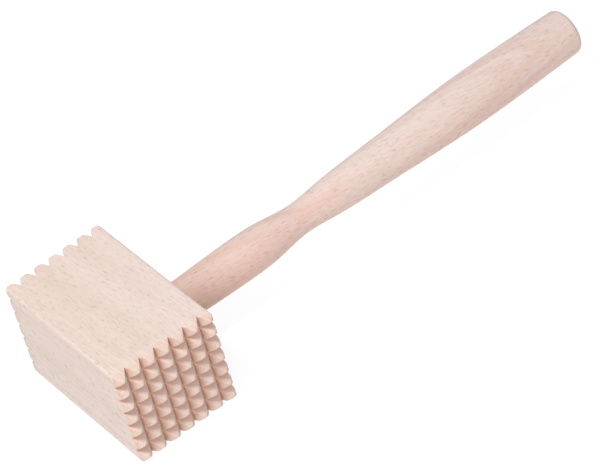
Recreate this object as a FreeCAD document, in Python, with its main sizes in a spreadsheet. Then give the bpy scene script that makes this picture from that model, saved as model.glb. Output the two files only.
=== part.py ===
import FreeCAD, Part
import os

import Sketcher

# Wooden meat mallet: a square beech head with 7 x 7 teeth on each of its two striking ends, and a turned
# beech handle whose round tenon is glued into a blind bore in the head.
#
# Frame, in millimetres: +X is the striking axis, +Y runs from the head along the handle, +Z is up. The origin
# is the middle of the head's underside, so the mallet lies with that flat face on z = 0. The head is drawn
# about its own middle, and the handle and the glue about the middle of the bore's mouth.

# name, value, meaning
DIMENSIONS = [
    ("head_width", 60.0, "head, bored face to crown face, along Y"),
    ("head_height", 60.0, "head, bottom face to top face, along Z"),
    ("core_length", 87.4, "head, groove bottoms to groove bottoms, along X"),
    ("long_edge_radius", 1.5, "rounding of the head's four long edges"),
    ("tooth_count", 7, "teeth along each side of a striking end"),
    ("tooth_pitch", 9.0, "one tooth tip to the next"),
    ("tooth_depth", 5.8, "groove bottom to tooth tip"),
    ("tip_flat", 0.5, "blunt flat left on each tooth tip"),
    ("flank_radius", 13.2, "convex curve of each tooth flank"),
    ("right_column_shift", 0.6, "+X end, upright grooves off centre, along Y"),
    ("right_row_shift", 0.1, "+X end, level grooves off centre, along Z"),
    ("left_column_shift", -0.2, "-X end, upright grooves off centre, along Y"),
    ("left_row_shift", 1.5, "-X end, level grooves off centre, along Z"),
    ("bore_diameter", 20.3, "blind bore for the tenon"),
    ("bore_depth", 42.5, "bore mouth to bore bottom"),
    ("tenon_diameter", 20.0, "round tenon of the handle"),
    ("tenon_length", 42.0, "shoulder to tenon end"),
    ("tenon_chamfer", 1.2, "lead-in at the tenon end"),
    ("butt_radius", 3.2, "rounding at the free end of the handle"),
]

# Turned profile of the handle: name, distance from the head's bored face, diameter there.
TURNED_PROFILE = [
    ("shoulder", 0.0, 21.3),
    ("root", 18.0, 22.2),
    ("swell", 45.0, 23.2),
    ("swell_end", 64.0, 21.9),
    ("neck", 84.5, 17.3),
    ("neck_end", 103.0, 19.9),
    ("grip_start", 135.0, 23.3),
    ("grip", 165.0, 26.0),
    ("palm", 195.0, 28.2),
    ("palm_end", 228.0, 28.0),
    ("butt", 270.0, 26.0),
]

GROOVE_OVERSHOOT = 1.0  # how far a groove's section reaches past the tooth tips


def new_sheet(doc):
    cells = list(DIMENSIONS)
    for name, distance, diameter in TURNED_PROFILE:
        cells.append((name + "_station", distance, "handle, distance from the bored face"))
        cells.append((name + "_diameter", diameter, "handle, turned diameter at that station"))
    sheet = doc.addObject("Spreadsheet::Sheet", "Dimensions")
    for row, (name, value, meaning) in enumerate(cells, start=1):
        sheet.set(f"A{row}", str(value))
        sheet.setAlias(f"A{row}", name)
        sheet.set(f"B{row}", meaning)
    doc.recompute()
    return sheet


def new_body(doc, label):
    body = doc.addObject("PartDesign::Body", label)
    body.Label = label
    return body


def origin_part(body, role):
    return next(part for part in body.Origin.OriginFeatures if part.Role == role)


def new_sketch(body, name, plane):
    sketch = body.newObject("Sketcher::SketchObject", name)
    sketch.AttachmentSupport = [(origin_part(body, plane), "")]
    sketch.MapMode = "FlatFace"
    return sketch


def drive(sketch, kind, where, value, formula):
    """Adds a dimension to the sketch and ties it to the sheet."""
    index = sketch.addConstraint(Sketcher.Constraint(kind, *where, value))
    sketch.setExpression(f"Constraints[{index}]", formula)


def locate(sketch, geometry, end, point, formula_x, formula_y):
    """Places one end of a sketch line, arc or point at a point measured from the sketch's origin."""
    drive(sketch, "DistanceX", (-1, 1, geometry, end), point.x, formula_x)
    drive(sketch, "DistanceY", (-1, 1, geometry, end), point.y, formula_y)


def end_at(sketch, geometry, point):
    """Which end of a sketch line or arc lies at the point: 1 for its start, 2 for its end."""
    return 1 if sketch.getPoint(geometry, 1).distanceToPoint(point) < 1e-6 else 2


def join(sketch, first, second, point):
    ends = (first, end_at(sketch, first, point), second, end_at(sketch, second, point))
    sketch.addConstraint(Sketcher.Constraint("Coincident", *ends))


def flat(x, y):
    return FreeCAD.Vector(x, y, 0)


def draw_section(sketch, sheet):
    """The head's square section, centred."""
    half_width, half_height = sheet.head_width / 2, sheet.head_height / 2
    corners = [
        flat(-half_width, -half_height),
        flat(half_width, -half_height),
        flat(half_width, half_height),
        flat(-half_width, half_height),
    ]
    sides = [
        sketch.addGeometry(Part.LineSegment(corners[i], corners[(i + 1) % 4]), False)
        for i in range(4)
    ]
    for i in range(4):
        join(sketch, sides[i], sides[(i + 1) % 4], corners[(i + 1) % 4])
        kind = "Horizontal" if i % 2 == 0 else "Vertical"
        sketch.addConstraint(Sketcher.Constraint(kind, sides[i]))
    locate(sketch, sides[0], 1, corners[0], "-Dimensions.head_width / 2", "-Dimensions.head_height / 2")
    locate(sketch, sides[2], 1, corners[2], "Dimensions.head_width / 2", "Dimensions.head_height / 2")


def draw_groove(sketch, sheet, side, shift):
    """The section of one groove: two convex flanks that meet in a sharp bottom, open towards the striking end.

    side is 1 for the +X end and -1 for the -X end. The groove drawn is the first of its set, half a pitch
    outside the middle of the outermost tooth.
    """
    sign = "" if side > 0 else "-"
    half_mouth = (sheet.tooth_pitch - sheet.tip_flat) / 2
    bottom = flat(
        side * sheet.core_length / 2,
        getattr(sheet, shift) - sheet.tooth_count * sheet.tooth_pitch / 2,
    )
    flanks, walls, outer = [], [], []
    for turn in (1, -1):
        mouth = bottom + flat(side * sheet.tooth_depth, turn * half_mouth)
        chord = mouth - bottom
        across = FreeCAD.Vector(side * abs(chord.y), -turn * abs(chord.x), 0).normalize()
        sagitta = sheet.flank_radius - (sheet.flank_radius**2 - chord.Length**2 / 4) ** 0.5
        flank = Part.Arc(bottom, (bottom + mouth) / 2 + across * sagitta, mouth)
        clear = mouth + flat(side * GROOVE_OVERSHOOT, 0)
        flanks.append(sketch.addGeometry(flank, False))
        walls.append(sketch.addGeometry(Part.LineSegment(mouth, clear), False))
        outer.append(clear)
        join(sketch, flanks[-1], walls[-1], mouth)
        sketch.addConstraint(Sketcher.Constraint("Horizontal", walls[-1]))
    lid = sketch.addGeometry(Part.LineSegment(outer[0], outer[1]), False)
    join(sketch, flanks[0], flanks[1], bottom)
    join(sketch, walls[0], lid, outer[0])
    join(sketch, walls[1], lid, outer[1])
    sketch.addConstraint(Sketcher.Constraint("Vertical", lid))

    at_bottom = end_at(sketch, flanks[0], bottom)
    locate(
        sketch,
        flanks[0],
        at_bottom,
        bottom,
        f"{sign}Dimensions.core_length / 2",
        f"Dimensions.{shift} - Dimensions.tooth_count * Dimensions.tooth_pitch / 2",
    )
    for flank, wall, turn in zip(flanks, walls, (1, -1)):
        drive(sketch, "Radius", (flank,), sheet.flank_radius, "Dimensions.flank_radius")
        drive(
            sketch,
            "DistanceY",
            (flanks[0], at_bottom, wall, 1),
            turn * half_mouth,
            f"{'' if turn > 0 else '-'}(Dimensions.tooth_pitch - Dimensions.tip_flat) / 2",
        )
        drive(
            sketch,
            "DistanceX",
            (flanks[0], at_bottom, wall, 1),
            side * sheet.tooth_depth,
            f"{sign}Dimensions.tooth_depth",
        )
    sketch.addConstraint(Sketcher.Constraint("DistanceX", walls[0], 1, walls[0], 2, side * GROOVE_OVERSHOOT))


def cut_grooves(doc, body, sheet, name, side, plane, run, shift):
    """Cuts one set of parallel grooves into a striking end, a pitch apart along the run axis."""
    solid = body.Tip.Shape.Volume
    sketch = new_sketch(body, name + "Section", plane)
    draw_groove(sketch, sheet, side, shift)
    groove = body.newObject("PartDesign::Pocket", name + "First")
    groove.Profile = sketch
    groove.Type = "ThroughAll"
    groove.SideType = "Symmetric"
    doc.recompute()
    grooves = body.newObject("PartDesign::LinearPattern", name)
    grooves.Originals = [groove]
    grooves.Direction = (origin_part(body, run), [""])
    grooves.setExpression("Length", "Dimensions.tooth_count * Dimensions.tooth_pitch")
    grooves.setExpression("Occurrences", "Dimensions.tooth_count + 1")
    body.Tip = grooves
    doc.recompute()
    if grooves.Shape.Volume > 0.995 * solid:
        raise RuntimeError(f"{name} cut nothing")


def make_head(doc, sheet):
    head = new_body(doc, "mallet_head")
    section = new_sketch(head, "HeadSection", "YZ_Plane")
    draw_section(section, sheet)
    block = head.newObject("PartDesign::Pad", "Block")
    block.Profile = section
    block.SideType = "Symmetric"
    block.setExpression("Length", "Dimensions.core_length + 2 * Dimensions.tooth_depth")
    doc.recompute()

    long_edges = [
        f"Edge{number}"
        for number, edge in enumerate(block.Shape.Edges, start=1)
        if abs(edge.tangentAt(edge.FirstParameter).x) > 0.99
    ]
    eased = head.newObject("PartDesign::Fillet", "EasedLongEdges")
    eased.Base = (block, long_edges)
    eased.setExpression("Radius", "Dimensions.long_edge_radius")
    head.Tip = eased
    doc.recompute()

    cut_grooves(doc, head, sheet, "RightUprightGrooves", 1, "XY_Plane", "Y_Axis", "right_column_shift")
    cut_grooves(doc, head, sheet, "RightLevelGrooves", 1, "XZ_Plane", "Z_Axis", "right_row_shift")
    cut_grooves(doc, head, sheet, "LeftUprightGrooves", -1, "XY_Plane", "Y_Axis", "left_column_shift")
    cut_grooves(doc, head, sheet, "LeftLevelGrooves", -1, "XZ_Plane", "Z_Axis", "left_row_shift")

    # The bore enters through the +Y face. The sketch plane faces -Y, into the wood.
    solid = head.Tip.Shape.Volume
    mouth = new_sketch(head, "BoreMouth", "XZ_Plane")
    mouth.setExpression("AttachmentOffset.Base.z", "-Dimensions.head_width / 2")
    circle = mouth.addGeometry(
        Part.Circle(FreeCAD.Vector(), FreeCAD.Vector(0, 0, 1), sheet.bore_diameter / 2), False
    )
    mouth.addConstraint(Sketcher.Constraint("Coincident", circle, 3, -1, 1))
    drive(mouth, "Diameter", (circle,), sheet.bore_diameter, "Dimensions.bore_diameter")
    bore = head.newObject("PartDesign::Pocket", "BlindBore")
    bore.Profile = mouth
    bore.Reversed = True
    bore.setExpression("Length", "Dimensions.bore_depth")
    head.Tip = bore
    doc.recompute()
    expected = 3.14159 * sheet.bore_diameter**2 / 4 * sheet.bore_depth
    if abs(solid - bore.Shape.Volume - expected) > 0.01 * expected:
        raise RuntimeError("the bore is not where it should be")

    head.setExpression("Placement.Base.z", "Dimensions.head_height / 2")
    return head


def draw_turned_half(sketch, sheet):
    """Half of the handle's lengthwise section: the axis, the tenon, and the turned outline to the butt."""
    outline_points = [
        flat(getattr(sheet, name + "_diameter") / 2, getattr(sheet, name + "_station"))
        for name, _, _ in TURNED_PROFILE
    ]
    outline = Part.BSplineCurve()
    outline.interpolate(outline_points)
    spline = sketch.addGeometry(outline, False)
    sketch.exposeInternalGeometry(spline)
    knots = [i for i in range(sketch.GeometryCount) if sketch.Geometry[i].TypeId == "Part::GeomPoint"]
    for knot, point, (name, station, _) in zip(knots, outline_points, TURNED_PROFILE):
        drive(sketch, "DistanceX", (-1, 1, knot, 1), point.x, f"Dimensions.{name}_diameter / 2")
        if station:
            drive(sketch, "DistanceY", (-1, 1, knot, 1), point.y, f"Dimensions.{name}_station")
        else:
            sketch.addConstraint(Sketcher.Constraint("PointOnObject", knot, 1, -1))

    tenon_radius = sheet.tenon_diameter / 2
    corners = [
        outline_points[-1],
        flat(0, outline_points[-1].y),
        flat(0, -sheet.tenon_length),
        flat(tenon_radius - sheet.tenon_chamfer, -sheet.tenon_length),
        flat(tenon_radius, sheet.tenon_chamfer - sheet.tenon_length),
        flat(tenon_radius, 0),
        outline_points[0],
    ]
    lines = [
        sketch.addGeometry(Part.LineSegment(start, end), False)
        for start, end in zip(corners, corners[1:])
    ]
    butt, axis, tenon_end, chamfer, tenon_side, shoulder = lines
    join(sketch, spline, butt, corners[0])
    for first, second, corner in zip(lines, lines[1:], corners[1:]):
        join(sketch, first, second, corner)
    join(sketch, shoulder, spline, corners[-1])
    for line in (butt, tenon_end, shoulder):
        sketch.addConstraint(Sketcher.Constraint("Horizontal", line))
    sketch.addConstraint(Sketcher.Constraint("PointOnObject", axis, 1, -2))
    for line in (axis, tenon_side):
        sketch.addConstraint(Sketcher.Constraint("Vertical", line))
    locate(
        sketch,
        chamfer,
        1,
        corners[3],
        "Dimensions.tenon_diameter / 2 - Dimensions.tenon_chamfer",
        "-Dimensions.tenon_length",
    )
    locate(
        sketch,
        chamfer,
        2,
        corners[4],
        "Dimensions.tenon_diameter / 2",
        "Dimensions.tenon_chamfer - Dimensions.tenon_length",
    )


def make_handle(doc, sheet):
    handle = new_body(doc, "handle")
    half = new_sketch(handle, "TurnedHalf", "XY_Plane")
    draw_turned_half(half, sheet)
    turned = handle.newObject("PartDesign::Revolution", "Turned")
    turned.Profile = half
    turned.ReferenceAxis = (half, ["V_Axis"])
    turned.Angle = 360
    doc.recompute()

    butt_station = TURNED_PROFILE[-1][0] + "_station"
    rim = [
        f"Edge{number}"
        for number, edge in enumerate(turned.Shape.Edges, start=1)
        if edge.Closed and abs(edge.CenterOfMass.y - getattr(sheet, butt_station)) < 0.01
    ]
    eased = handle.newObject("PartDesign::Fillet", "EasedButt")
    eased.Base = (turned, rim)
    eased.setExpression("Radius", "Dimensions.butt_radius")
    handle.Tip = eased
    handle.setExpression("Placement.Base.y", "Dimensions.head_width / 2")
    handle.setExpression("Placement.Base.z", "Dimensions.head_height / 2")
    doc.recompute()
    return handle


def make_glue_line(doc):
    """The thin cup of set glue between the tenon and the bore: the bore's volume less the tenon's."""
    bore = doc.addObject("Part::Cylinder", "BoreVolume")
    bore.setExpression("Radius", "Dimensions.bore_diameter / 2")
    bore.setExpression("Height", "Dimensions.bore_depth")
    tenon = doc.addObject("Part::Cylinder", "TenonVolume")
    tenon.setExpression("Radius", "Dimensions.tenon_diameter / 2")
    tenon.setExpression("Height", "Dimensions.tenon_length")
    glue = doc.addObject("Part::Cut", "glue_line")
    glue.Label = "glue_line"
    glue.Base = bore
    glue.Tool = tenon
    # Both volumes are drawn upwards from the bore's mouth, and turned to run into the head.
    glue.Placement = FreeCAD.Placement(
        FreeCAD.Vector(), FreeCAD.Rotation(FreeCAD.Vector(1, 0, 0), 90)
    )
    glue.setExpression("Placement.Base.y", "Dimensions.head_width / 2")
    glue.setExpression("Placement.Base.z", "Dimensions.head_height / 2")
    return glue


def check(doc, pieces):
    doc.recompute()
    failed = [o.Name for o in doc.Objects if "Invalid" in o.State or "Error" in o.State]
    if failed:
        raise RuntimeError(f"these objects failed: {failed}")
    for piece in pieces:
        if piece.Shape.isNull() or not piece.Shape.isValid() or len(piece.Shape.Solids) != 1:
            raise RuntimeError(f"{piece.Label} is not one valid solid")


def main():
    doc = FreeCAD.newDocument("MeatMallet")
    sheet = new_sheet(doc)
    pieces = [make_head(doc, sheet), make_handle(doc, sheet), make_glue_line(doc)]
    check(doc, pieces)
    os.makedirs("parts", exist_ok=True)
    for piece in pieces:
        piece.Shape.exportStep(os.path.join("parts", piece.Label + ".step"))


main()
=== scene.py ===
import math

import bpy
import numpy as np
from mathutils import Euler, Matrix, Vector


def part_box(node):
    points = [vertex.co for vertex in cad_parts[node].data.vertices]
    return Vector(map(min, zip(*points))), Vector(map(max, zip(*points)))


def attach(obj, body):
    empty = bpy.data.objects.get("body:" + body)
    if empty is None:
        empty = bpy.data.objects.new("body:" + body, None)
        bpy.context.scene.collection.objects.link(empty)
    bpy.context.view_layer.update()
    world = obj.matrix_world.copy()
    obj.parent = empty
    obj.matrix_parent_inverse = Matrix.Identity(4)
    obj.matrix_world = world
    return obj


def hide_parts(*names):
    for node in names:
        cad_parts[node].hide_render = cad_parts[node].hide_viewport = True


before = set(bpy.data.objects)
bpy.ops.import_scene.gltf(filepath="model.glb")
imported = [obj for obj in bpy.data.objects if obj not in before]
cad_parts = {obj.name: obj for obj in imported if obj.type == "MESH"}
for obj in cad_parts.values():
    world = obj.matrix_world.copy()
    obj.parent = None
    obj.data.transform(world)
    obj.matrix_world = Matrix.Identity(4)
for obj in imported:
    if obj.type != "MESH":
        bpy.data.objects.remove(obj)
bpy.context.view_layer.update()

# A one-handed wooden meat mallet: a square beech block with seven rows of seven
# teeth cut on both striking ends, on a turned beech handle glued into a blind bore.
# Metres throughout. X is the striking axis, +Y runs to the free end of the handle, Z is up.

block_low, block_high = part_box("mallet_head")
MM = 0.001


# ---------------------------------------------------------------- small tools

def linear(hexcode):
    """An sRGB hex colour as linear RGBA."""
    parts = [int(hexcode[i:i + 2], 16) / 255 for i in (1, 3, 5)]
    return [c / 12.92 if c <= 0.04045 else ((c + 0.055) / 1.055) ** 2.4 for c in parts] + [1.0]


def put(tree, kind, into=None, **settings):
    """Adds one node, sets its properties, and fills its inputs with values or links. A node
    given as an input stands for its first live output."""
    made = tree.nodes.new(kind)
    for name, value in settings.items():
        setattr(made, name, value)
    for place, value in (into or {}).items():
        if isinstance(value, bpy.types.Node):
            value = next(socket for socket in value.outputs if socket.enabled)
        if isinstance(value, bpy.types.NodeSocket):
            tree.links.new(value, made.inputs[place])
        else:
            made.inputs[place].default_value = value
    return made


# ---------------------------------------------------------------- materials

def solid_beech(name, fibre, radial, pale, warm, ray_brown, deep_brown, end_grain_and_groove_shade_zone=None,
                red_end=None, ray=(5.2, 0.46, 8), seed=(0, 0, 0)):
    """Steamed European beech, machined and sanded, left unvarnished. The eye gets a pale, dry,
    even wood with short dark ray dashes where the cut is tangential, broad faint flecks where
    it is radial, fine silky fibre, and soft bands from the yearly rings. The pattern is solid,
    so it runs through the piece and every cut shows it the way real wood would. The deep brown
    is the tone of the end grain where there is an end grain and groove shade zone, with more
    of it down the grooves as painted shade, and of the redder wood where there is a red end. Zones are in
    metres, and ray is the size in mm of the cell that holds one ray."""
    made = bpy.data.materials.new(name)
    made.use_nodes = True
    tree = made.node_tree
    tree.nodes.clear()
    # The wood's own axes: x along the fibre, y along the rings, z out across the rings, in mm.
    along = Vector(fibre).normalized()
    across = Vector(radial).normalized()
    across = (across - along * across.dot(along)).normalized()
    tangent = across.cross(along)
    place = put(tree, "ShaderNodeTexCoord").outputs["Object"]
    wood = put(tree, "ShaderNodeMapping", {
        "Vector": place, "Location": seed, "Scale": (1000, 1000, 1000),
        "Rotation": Matrix((along, tangent, across)).to_euler()}, vector_type="POINT").outputs[0]

    # Long slow wander of the fibre, about 1 mm over 45 mm, so nothing runs ruler straight.
    wander = put(tree, "ShaderNodeTexNoise", {
        "Vector": put(tree, "ShaderNodeVectorMath", {0: wood, 1: (1 / 45, 1 / 18, 1 / 18)},
                      operation="MULTIPLY").outputs[0],
        "Scale": 1.0, "Detail": 1.0})
    shift = put(tree, "ShaderNodeVectorMath", {0: wander.outputs["Color"], 1: (0.5, 0.5, 0.5)},
                operation="SUBTRACT").outputs[0]
    shift = put(tree, "ShaderNodeVectorMath", {0: shift, 1: (0.0, 2.4, 5.0)},
                operation="MULTIPLY").outputs[0]
    wood = put(tree, "ShaderNodeVectorMath", {0: wood, 1: shift}, operation="ADD").outputs[0]

    # Yearly rings about 3.6 mm apart: broad soft bands, a little darker at the late wood.
    rings = put(tree, "ShaderNodeTexNoise", {
        "Vector": put(tree, "ShaderNodeVectorMath", {0: wood, 1: (1 / 260, 1 / 60, 1 / 3.6)},
                      operation="MULTIPLY").outputs[0],
        "Scale": 1.0, "Detail": 2.0, "Roughness": 0.55}).outputs["Fac"]
    rings = put(tree, "ShaderNodeMapRange", {"Value": rings, "From Min": 0.35, "From Max": 0.68},
                interpolation_type="SMOOTHSTEP").outputs[0]

    # Fibre streaks about 0.75 mm wide and 9 mm long; real vessels are 0.06 mm wide, so these
    # are drawn as coarse as they need to show.
    fibres = put(tree, "ShaderNodeTexNoise", {
        "Vector": put(tree, "ShaderNodeVectorMath", {0: wood, 1: (1 / 9, 1 / 0.75, 1 / 0.75)},
                      operation="MULTIPLY").outputs[0],
        "Scale": 1.0, "Detail": 3.0, "Roughness": 0.6}).outputs["Fac"]

    # Rays: thin brown ribbons, longest across the rings. Each fills about half of its cell both
    # along the fibre and in width, which is coarser than real ones, so that they show.
    cells = put(tree, "ShaderNodeTexVoronoi", {
        "Vector": put(tree, "ShaderNodeVectorMath", {0: wood, 1: ray}, operation="DIVIDE").outputs[0],
        "Scale": 1.0, "Randomness": 1.0}, feature="F1")
    dash = put(tree, "ShaderNodeMapRange", {
        "Value": cells.outputs["Distance"], "From Min": 0.04, "From Max": 0.42,
        "To Min": 1.0, "To Max": 0.0}, interpolation_type="SMOOTHSTEP").outputs[0]
    chance = put(tree, "ShaderNodeSeparateColor", {0: cells.outputs["Color"]})
    strength = put(tree, "ShaderNodeMapRange", {
        "Value": chance.outputs[0], "From Min": 0.1, "From Max": 1.0},
        interpolation_type="SMOOTHSTEP").outputs[0]
    dash = put(tree, "ShaderNodeMath", {0: dash, 1: strength}, operation="MULTIPLY").outputs[0]

    tone = put(tree, "ShaderNodeMix", {0: rings, 6: linear(pale), 7: linear(warm)},
               data_type="RGBA").outputs[2]
    if red_end:
        # The billet is a little redder towards the head, and redder too on the handle's side that faces
        # +X and down.
        red = put(tree, "ShaderNodeMapRange", {
            "Value": put(tree, "ShaderNodeSeparateXYZ", {0: place}).outputs[1],
            "From Min": red_end[0], "From Max": red_end[1], "To Min": 0.6, "To Max": 0.0})
        redder_side_from, redder_side_to = -0.042, -0.012
        redder_side = put(tree, "ShaderNodeVectorMath", {0: place, 1: (1, 0, -1)}, operation="DOT_PRODUCT")
        redder_side = put(tree, "ShaderNodeMapRange", {
            "Value": redder_side, "From Min": redder_side_from, "From Max": redder_side_to, "To Min": 0.0, "To Max": 0.4})
        red = put(tree, "ShaderNodeMath", {0: red, 1: redder_side}, operation="ADD")
        tone = put(tree, "ShaderNodeMix", {0: red, 6: tone, 7: linear(deep_brown)}, data_type="RGBA")
    # The dark fibres are a little redder than the light ones.
    silk = put(tree, "ShaderNodeMapRange", {
        "Vector": fibres, "From Min": (0.3, 0.3, 0.3), "From Max": (0.7, 0.7, 0.7),
        "To Min": (0.95, 0.92, 0.905), "To Max": (1.04, 1.065, 1.08)}, data_type="FLOAT_VECTOR")
    tone = put(tree, "ShaderNodeVectorMath", {0: tone, 1: silk}, operation="MULTIPLY").outputs[0]
    tone = put(tree, "ShaderNodeMix", {0: put(
        tree, "ShaderNodeMath", {0: dash, 1: 0.72}, operation="MULTIPLY").outputs[0],
        6: tone, 7: linear(ray_brown)}, data_type="RGBA").outputs[2]

    if end_grain_and_groove_shade_zone:
        # End grain on the cut teeth, where the surface leans towards the striking end: open pores
        # drink the light, so it is a shade browner. Down in the grooves it turns browner still, and that
        # extra brown is painted shade in the grooves.
        x = put(tree, "ShaderNodeSeparateXYZ", {0: place}).outputs[0]
        out = put(tree, "ShaderNodeMath", {0: x}, operation="ABSOLUTE").outputs[0]
        # The brown share rises from 0.2 at the tips to 0.95 deep in the grooves; that rise is painted
        # shade in the grooves.
        share = put(tree, "ShaderNodeMapRange", {
            "Value": out, "From Min": end_grain_and_groove_shade_zone[0], "From Max": end_grain_and_groove_shade_zone[1],
            "To Min": 0.95, "To Max": 0.2}).outputs[0]
        facing = put(tree, "ShaderNodeSeparateXYZ", {
            0: put(tree, "ShaderNodeTexCoord").outputs["Normal"]}).outputs[0]
        facing = put(tree, "ShaderNodeMath", {0: facing}, operation="ABSOLUTE").outputs[0]
        facing = put(tree, "ShaderNodeMapRange", {
            "Value": facing, "From Min": 0.2, "From Max": 0.45},
            interpolation_type="SMOOTHSTEP").outputs[0]
        share = put(tree, "ShaderNodeMath", {0: share, 1: facing}, operation="MULTIPLY").outputs[0]
        tone = put(tree, "ShaderNodeMix", {0: share, 6: tone, 7: linear(deep_brown)},
                   data_type="RGBA").outputs[2]

    bump = put(tree, "ShaderNodeBump", {"Height": fibres, "Strength": 0.25, "Distance": 0.00006})
    skin = put(tree, "ShaderNodeBsdfPrincipled", {
        "Base Color": tone, "Roughness": 0.62, "IOR": 1.5, "Sheen Weight": 0.06,
        "Sheen Roughness": 0.5, "Normal": bump.outputs[0]})
    put(tree, "ShaderNodeOutputMaterial", {0: skin.outputs[0]})
    return made


def plain_stuff(name, colour, roughness, ior=1.5, glow=0.0):
    """One even material: colour, gloss, and for the studio floor a little light of its own."""
    made = bpy.data.materials.new(name)
    made.use_nodes = True
    tree = made.node_tree
    tree.nodes.clear()
    skin = put(tree, "ShaderNodeBsdfPrincipled", {
        "Base Color": linear(colour), "Roughness": roughness, "IOR": ior,
        "Emission Color": (1, 1, 1, 1), "Emission Strength": glow})
    put(tree, "ShaderNodeOutputMaterial", {0: skin.outputs[0]})
    return made


# On the block the end grain is browner near the tips, and the extra brown towards the groove roots is
# painted groove shade.
beech_block = solid_beech(
    "beech_block", fibre=(1, 0.05, 0.015), radial=(0, 0.35, 1),
    pale="#c8b7ac", warm="#c4b1a3", ray_brown="#8a6a54", deep_brown="#c89a80",
    end_grain_and_groove_shade_zone=(0.0437, 0.0475), seed=(11, 5, 3))
beech_turned = solid_beech(
    "beech_turned", fibre=(0.15, 1, 0.02), radial=(0.62, -0.08, 0.78),
    pale="#cab9af", warm="#c6ab9f", ray_brown="#80503b", deep_brown="#c6a08e",
    red_end=(0.03, 0.15), ray=(5.4, 0.34, 6), seed=(3, 17, 9))
# Dried white wood glue: a thin translucent yellowish film, smooth where it touched the bore.
set_wood_glue = plain_stuff("set_wood_glue", "#e3d6b4", 0.35, 1.48)


# ---------------------------------------------------------------- toothed block

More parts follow.
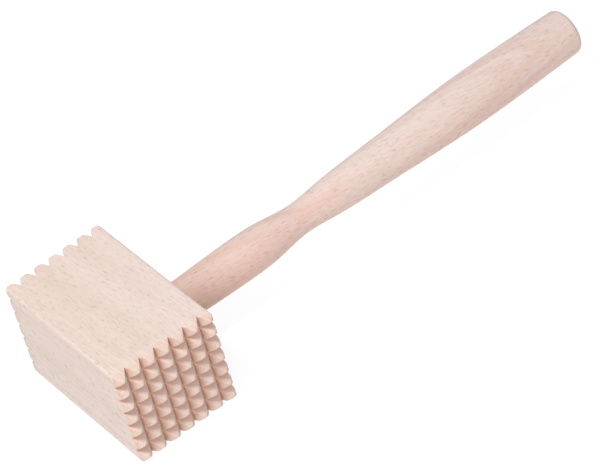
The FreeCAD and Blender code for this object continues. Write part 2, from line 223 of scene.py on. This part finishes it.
def toothed_block():
    """The head as one rule: a unit block of fine cells is pushed out to size, its long edges
    are rounded, and both ends rise into teeth, seven columns by seven rows, each the lower of
    two rows of humps that cross. The bore for the handle is then cut from the +Y face."""
    tree = bpy.data.node_groups.new("toothed_block", "GeometryNodeTree")
    wants = {
        "Width": ("NodeSocketFloat", block_high.y - block_low.y),
        "Height": ("NodeSocketFloat", block_high.z - block_low.z),
        "Length Over Tips": ("NodeSocketFloat", block_high.x - block_low.x),
        "Tooth Depth": ("NodeSocketFloat", 5.8 * MM),
        "Tooth Pitch": ("NodeSocketFloat", 9.0 * MM),
        "Right Hump Power": ("NodeSocketFloat", 1.45),
        "Left Hump Power": ("NodeSocketFloat", 2.8),
        "Crease Softness": ("NodeSocketFloat", 0.12 * MM),
        "Long Edge Radius": ("NodeSocketFloat", 1.5 * MM),
        "Right Column Shift": ("NodeSocketFloat", 0.6 * MM),
        "Right Row Shift": ("NodeSocketFloat", 0.1 * MM),
        "Left Column Shift": ("NodeSocketFloat", -0.2 * MM),
        "Left Row Shift": ("NodeSocketFloat", 1.5 * MM),
        "Cells Across": ("NodeSocketInt", 201),
        "Bore Radius": ("NodeSocketFloat", 10.15 * MM),
        "Bore Depth": ("NodeSocketFloat", 42.5 * MM),
        "Wood": ("NodeSocketMaterial", beech_block),
    }
    tree.interface.new_socket("Geometry", in_out="OUTPUT", socket_type="NodeSocketGeometry")
    ids = {}
    for label, (kind, _) in wants.items():
        ids[label] = tree.interface.new_socket(label, in_out="INPUT", socket_type=kind).identifier
    given = put(tree, "NodeGroupInput").outputs

    cells, cells_along = given["Cells Across"], 11
    least_span = 1e-9
    proud = 2 * MM
    drill_sides = 96
    cube = put(tree, "GeometryNodeMeshCube", {
        "Size": (1, 1, 1), "Vertices X": cells_along, "Vertices Y": cells, "Vertices Z": cells})
    unit = put(tree, "GeometryNodeInputPosition")

    # Cross-section: out to size, with the corner squares drawn in to quarter rounds.
    section = put(tree, "ShaderNodeCombineXYZ", {1: given["Width"], 2: given["Height"]})
    place = put(tree, "ShaderNodeVectorMath", {0: unit, 1: section}, operation="MULTIPLY")
    side = put(tree, "ShaderNodeVectorMath", {0: place}, operation="SIGN")
    out = put(tree, "ShaderNodeVectorMath", {0: place}, operation="ABSOLUTE")
    half = put(tree, "ShaderNodeVectorMath", {0: section, 1: (0.5, 0.5, 0.5)}, operation="MULTIPLY")
    corner = put(tree, "ShaderNodeCombineXYZ", {
        1: given["Long Edge Radius"], 2: given["Long Edge Radius"]})
    straight = put(tree, "ShaderNodeVectorMath", {0: half, 1: corner}, operation="SUBTRACT")
    flat = put(tree, "ShaderNodeVectorMath", {0: out, 1: straight}, operation="MINIMUM")
    past = put(tree, "ShaderNodeVectorMath", {0: out, 1: flat}, operation="SUBTRACT")
    past_by = put(tree, "ShaderNodeSeparateXYZ", {0: past}).outputs
    reach = put(tree, "ShaderNodeMath", {0: past_by[1], 1: past_by[2]}, operation="MAXIMUM")
    span = put(tree, "ShaderNodeVectorMath", {0: past}, operation="LENGTH")
    span = put(tree, "ShaderNodeMath", {0: span, 1: least_span}, operation="MAXIMUM")
    draw = put(tree, "ShaderNodeMath", {0: reach, 1: span}, operation="DIVIDE")
    past = put(tree, "ShaderNodeVectorMath", {0: past, "Scale": draw}, operation="SCALE")
    out = put(tree, "ShaderNodeVectorMath", {0: past, 1: flat}, operation="ADD")
    place = put(tree, "ShaderNodeVectorMath", {0: out, 1: side}, operation="MULTIPLY")

    # Teeth: a hump is full height at its tip and falls to nothing half a pitch away. Humps in
    # columns cross humps in rows, and the lower of the two is what the cutters leave.
    core = put(tree, "ShaderNodeMath", {0: given["Length Over Tips"], 1: 0.5}, operation="MULTIPLY")
    core = put(tree, "ShaderNodeMath", {0: core, 1: given["Tooth Depth"]}, operation="SUBTRACT")
    ends = []
    for end in ("Left", "Right"):
        shift = put(tree, "ShaderNodeCombineXYZ", {
            1: given[end + " Column Shift"], 2: given[end + " Row Shift"]})
        off = put(tree, "ShaderNodeVectorMath", {0: place, 1: shift}, operation="SUBTRACT")
        pitch = put(tree, "ShaderNodeMath", {0: 2.0, 1: given["Tooth Pitch"]}, operation="DIVIDE")
        off = put(tree, "ShaderNodeVectorMath", {0: off, "Scale": pitch}, operation="SCALE")
        off = put(tree, "ShaderNodeVectorMath", {0: off, 1: (1, 1, 1), 2: (-1, -1, -1)}, operation="WRAP")
        off = put(tree, "ShaderNodeVectorMath", {0: off}, operation="ABSOLUTE")
        off = put(tree, "ShaderNodeSeparateXYZ", {0: off}).outputs
        humps = []
        for fall in (off[1], off[2]):
            fall = put(tree, "ShaderNodeMath", {
                0: fall, 1: given[end + " Hump Power"]}, operation="POWER")
            rise = put(tree, "ShaderNodeMath", {0: 1.0, 1: fall}, operation="SUBTRACT")
            humps.append(put(tree, "ShaderNodeMath", {0: rise, 1: given["Tooth Depth"]},
                             operation="MULTIPLY"))
        rise = put(tree, "ShaderNodeMath", {
            0: humps[0], 1: humps[1], 2: given["Crease Softness"]}, operation="SMOOTH_MIN")
        ends.append(put(tree, "ShaderNodeMath", {0: core, 1: rise}, operation="ADD"))
    share = put(tree, "ShaderNodeSeparateXYZ", {0: unit}).outputs[0]
    share = put(tree, "ShaderNodeMath", {0: share, 1: 0.5}, operation="ADD")
    length = put(tree, "ShaderNodeMath", {0: ends[0], 1: ends[1]}, operation="ADD")
    x = put(tree, "ShaderNodeMath", {0: share, 1: length}, operation="MULTIPLY")
    x = put(tree, "ShaderNodeMath", {0: x, 1: ends[0]}, operation="SUBTRACT")
    centre = put(tree, "ShaderNodeMath", {0: given["Height"], 1: 0.5}, operation="MULTIPLY")
    lift = put(tree, "ShaderNodeCombineXYZ", {0: x, 2: centre})
    block = put(tree, "GeometryNodeSetPosition", {
        "Geometry": cube,
        "Position": put(tree, "ShaderNodeVectorMath", {0: place, 1: lift}, operation="ADD")})

    # Blind bore from the +Y face, with a cutter that stands proud of it.
    long = put(tree, "ShaderNodeMath", {0: given["Bore Depth"], 1: proud}, operation="ADD")
    drill = put(tree, "GeometryNodeMeshCylinder", {
        "Vertices": drill_sides, "Radius": given["Bore Radius"], "Depth": long})
    mouth = put(tree, "ShaderNodeMath", {0: given["Width"], 1: 0.5, 2: proud}, operation="MULTIPLY_ADD")
    middle = put(tree, "ShaderNodeMath", {0: long, 1: -0.5, 2: mouth}, operation="MULTIPLY_ADD")
    drill = put(tree, "GeometryNodeTransform", {
        "Geometry": drill, "Rotation": Euler((math.pi / 2, 0, 0)),
        "Translation": put(tree, "ShaderNodeCombineXYZ", {1: middle, 2: centre})})
    bored = put(tree, "GeometryNodeMeshBoolean", {0: block, 1: drill},
                operation="DIFFERENCE", solver="EXACT")

    # Crisp only where cuts meet at more than 50 degrees; the worn creases stay smooth.
    bend = put(tree, "GeometryNodeInputMeshEdgeAngle")
    crisp = put(tree, "FunctionNodeCompare", {0: bend, 1: math.radians(50)},
                data_type="FLOAT", operation="GREATER_THAN")
    soft = put(tree, "GeometryNodeSetShadeSmooth", {0: bored, 1: True, 2: True}, domain="FACE")
    soft = put(tree, "GeometryNodeSetShadeSmooth", {0: soft, 1: crisp, 2: False}, domain="EDGE")
    whole = put(tree, "GeometryNodeRealizeInstances", {0: soft})
    whole = put(tree, "GeometryNodeSetMaterial", {"Geometry": whole, "Material": given["Wood"]})
    put(tree, "NodeGroupOutput", {0: whole})

    seat = bpy.data.objects.new("toothed_block_seat", bpy.data.meshes.new("toothed_block_seat"))
    bpy.context.scene.collection.objects.link(seat)
    modifier = seat.modifiers.new("toothed_block", "NODES")
    modifier.node_group = tree
    for label, (_, value) in wants.items():
        modifier[ids[label]] = value
    bpy.context.view_layer.update()
    cut = bpy.data.meshes.new_from_object(seat.evaluated_get(bpy.context.evaluated_depsgraph_get()))
    bpy.data.objects.remove(seat)
    cut.name = "toothed_head"
    piece = bpy.data.objects.new("toothed_head", cut)
    bpy.context.scene.collection.objects.link(piece)
    return piece


# ---------------------------------------------------------------- turned handle

def smooth_through(points, count):
    """A smooth curve through the points, as a lathe hand's template would run."""
    points = np.array(points, float)
    knots = np.concatenate([[0], np.cumsum(np.hypot(*np.diff(points, axis=0).T))])
    n = len(points)
    gaps = np.diff(knots)
    system, right = np.zeros((n, n)), np.zeros((n, 2))
    system[0, 0] = system[-1, -1] = 1
    for i in range(1, n - 1):
        system[i, i - 1:i + 2] = gaps[i - 1], 2 * (gaps[i - 1] + gaps[i]), gaps[i]
        right[i] = 6 * ((points[i + 1] - points[i]) / gaps[i]
                        - (points[i] - points[i - 1]) / gaps[i - 1])
    bend = np.linalg.solve(system, right)
    out = []
    for t in np.linspace(0, knots[-1], count):
        i = min(int(np.searchsorted(knots, t, "right")) - 1, n - 2)
        a, b = (knots[i + 1] - t) / gaps[i], (t - knots[i]) / gaps[i]
        out.append(a * points[i] + b * points[i + 1] + gaps[i] ** 2 / 6 * (
            (a ** 3 - a) * bend[i] + (b ** 3 - b) * bend[i + 1]))
    return np.array(out)


def turned_handle():
    """The handle as turned: tenon, shoulder, swelled shaft, narrow neck, grip, rounded butt.
    In mm: distance from the head's bored face, then radius there."""
    face = block_high.y / MM
    shaft, stem, axis_height = 270, 42.0, 30
    samples, arc_steps, around = 240, 12, 96
    full = smooth_through([(0, 10.65), (18, 11.1), (45, 11.6), (64, 10.95), (84.5, 8.65),
                           (103, 9.95), (135, 11.65), (165, 13.0), (195, 14.1), (228, 14.0),
                           (shaft, 13.0)], samples)
    tenon, chamfer, butt = 10.0, 1.2, 3.2
    line = [(-stem, 0.0), (-stem, tenon - chamfer), (-stem + chamfer, tenon), (0.0, tenon)]
    # The curve stops just short of the rounded butt, so that no two rings fall together.
    clear = butt * 1.02
    keep = [p for p in full if p[0] < shaft - clear]
    line += [tuple(p) for p in keep]
    edge = float(np.interp(shaft - butt, full[:, 0], full[:, 1]))
    for step in range(arc_steps + 1):
        turn = math.radians(90 * step / arc_steps)
        line.append((shaft - butt + butt * math.sin(turn), edge - butt + butt * math.cos(turn)))
    line.append((float(shaft), 0.0))

    points, faces = [], []
    rings = []
    for distance, radius in line:
        if radius == 0.0:
            rings.append([len(points)])
            points.append((0.0, (face + distance) * MM, axis_height * MM))
            continue
        ring = []
        for k in range(around):
            turn = 2 * math.pi * k / around
            ring.append(len(points))
            points.append((radius * MM * math.cos(turn), (face + distance) * MM,
                           (axis_height + radius * math.sin(turn)) * MM))
        rings.append(ring)
    for one, two in zip(rings, rings[1:]):
        for k in range(around):
            n = (k + 1) % around
            if len(one) == 1:
                faces.append((one[0], two[k], two[n]))
            elif len(two) == 1:
                faces.append((one[k], two[0], one[n]))
            else:
                faces.append((one[k], two[k], two[n], one[n]))
    shape = bpy.data.meshes.new("turned_handle")
    shape.from_pydata(points, [], faces)
    shape.update()
    shape.shade_smooth()
    shape.set_sharp_from_angle(angle=math.radians(38))
    shape.materials.append(beech_turned)
    piece = bpy.data.objects.new("turned_handle", shape)
    bpy.context.scene.collection.objects.link(piece)
    return piece


# ---------------------------------------------------------------- pieces in place

head = toothed_block()
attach(head, "root")
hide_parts("mallet_head")

handle = turned_handle()
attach(handle, "root")
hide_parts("handle")

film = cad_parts["glue_line"]
film.data.materials.clear()
film.data.materials.append(set_wood_glue)


# ---------------------------------------------------------------- studio

def studio():
    """A wide floor, mid grey but glowing softly so that it shows white, under an even sky that
    the camera sees as white and that gives less light than that. Three soft lamps: a small one
    almost overhead, a broad one low from the +X -Y corner, and a broad weak one from -X."""
    reach = 6
    ground = bpy.data.meshes.new("studio_floor")
    ground.from_pydata([(-reach, -reach, 0), (reach, -reach, 0), (reach, reach, 0),
                        (-reach, reach, 0)], [], [(0, 1, 2, 3)])
    ground.materials.append(plain_stuff("white_table", "#666666", 0.9, 1.45, glow=0.88))
    table = bpy.data.objects.new("studio_floor", ground)
    bpy.context.scene.collection.objects.link(table)

    sky = bpy.data.worlds.new("studio_sky")
    bpy.context.scene.world = sky
    sky.use_nodes = True
    tree = sky.node_tree
    tree.nodes.clear()
    lit = put(tree, "ShaderNodeBackground", {"Color": (0.94, 0.975, 1.07, 1), "Strength": 0.60})
    plain = put(tree, "ShaderNodeBackground", {"Color": (1, 1, 1, 1), "Strength": 1.0})
    both = put(tree, "ShaderNodeMixShader", {
        0: put(tree, "ShaderNodeLightPath").outputs["Is Camera Ray"],
        1: lit.outputs[0], 2: plain.outputs[0]})
    put(tree, "ShaderNodeOutputWorld", {0: both.outputs[0]})

    aim = Vector((0, 0.08, 0.03))
    for name, spot, size, power, colour in (
            ("high_lamp", (0.18, -0.50, 1.52), 0.34, 17.2, (1.0, 0.965, 0.94)),
            ("side_lamp", (1.55, -1.22, 0.85), 1.4, 23, (0.94, 0.97, 1.03)),
            ("fill_lamp", (-1.20, 0.28, 1.61), 1.4, 6, (0.96, 0.98, 1.02))):
        lamp = bpy.data.lights.new(name, "AREA")
        lamp.shape, lamp.size, lamp.energy, lamp.color = "DISK", size, power, colour
        hung = bpy.data.objects.new(name, lamp)
        hung.location = spot
        hung.rotation_euler = (aim - hung.location).to_track_quat("-Z", "Y").to_euler()
        bpy.context.scene.collection.objects.link(hung)

    eye = bpy.data.cameras.new("eye")
    eye.sensor_width = 36
    eye.lens = 215.8
    eye.clip_start, eye.clip_end = 0.05, 50
    seen = bpy.data.objects.new("eye", eye)
    seen.location = (1.2042, -0.5147, 1.2692)
    seen.rotation_euler = [math.radians(a) for a in (46.294, 11.536, 51.630)]
    bpy.context.scene.collection.objects.link(seen)
    bpy.context.scene.camera = seen
    bpy.context.scene.view_settings.view_transform = "Standard"


studio()
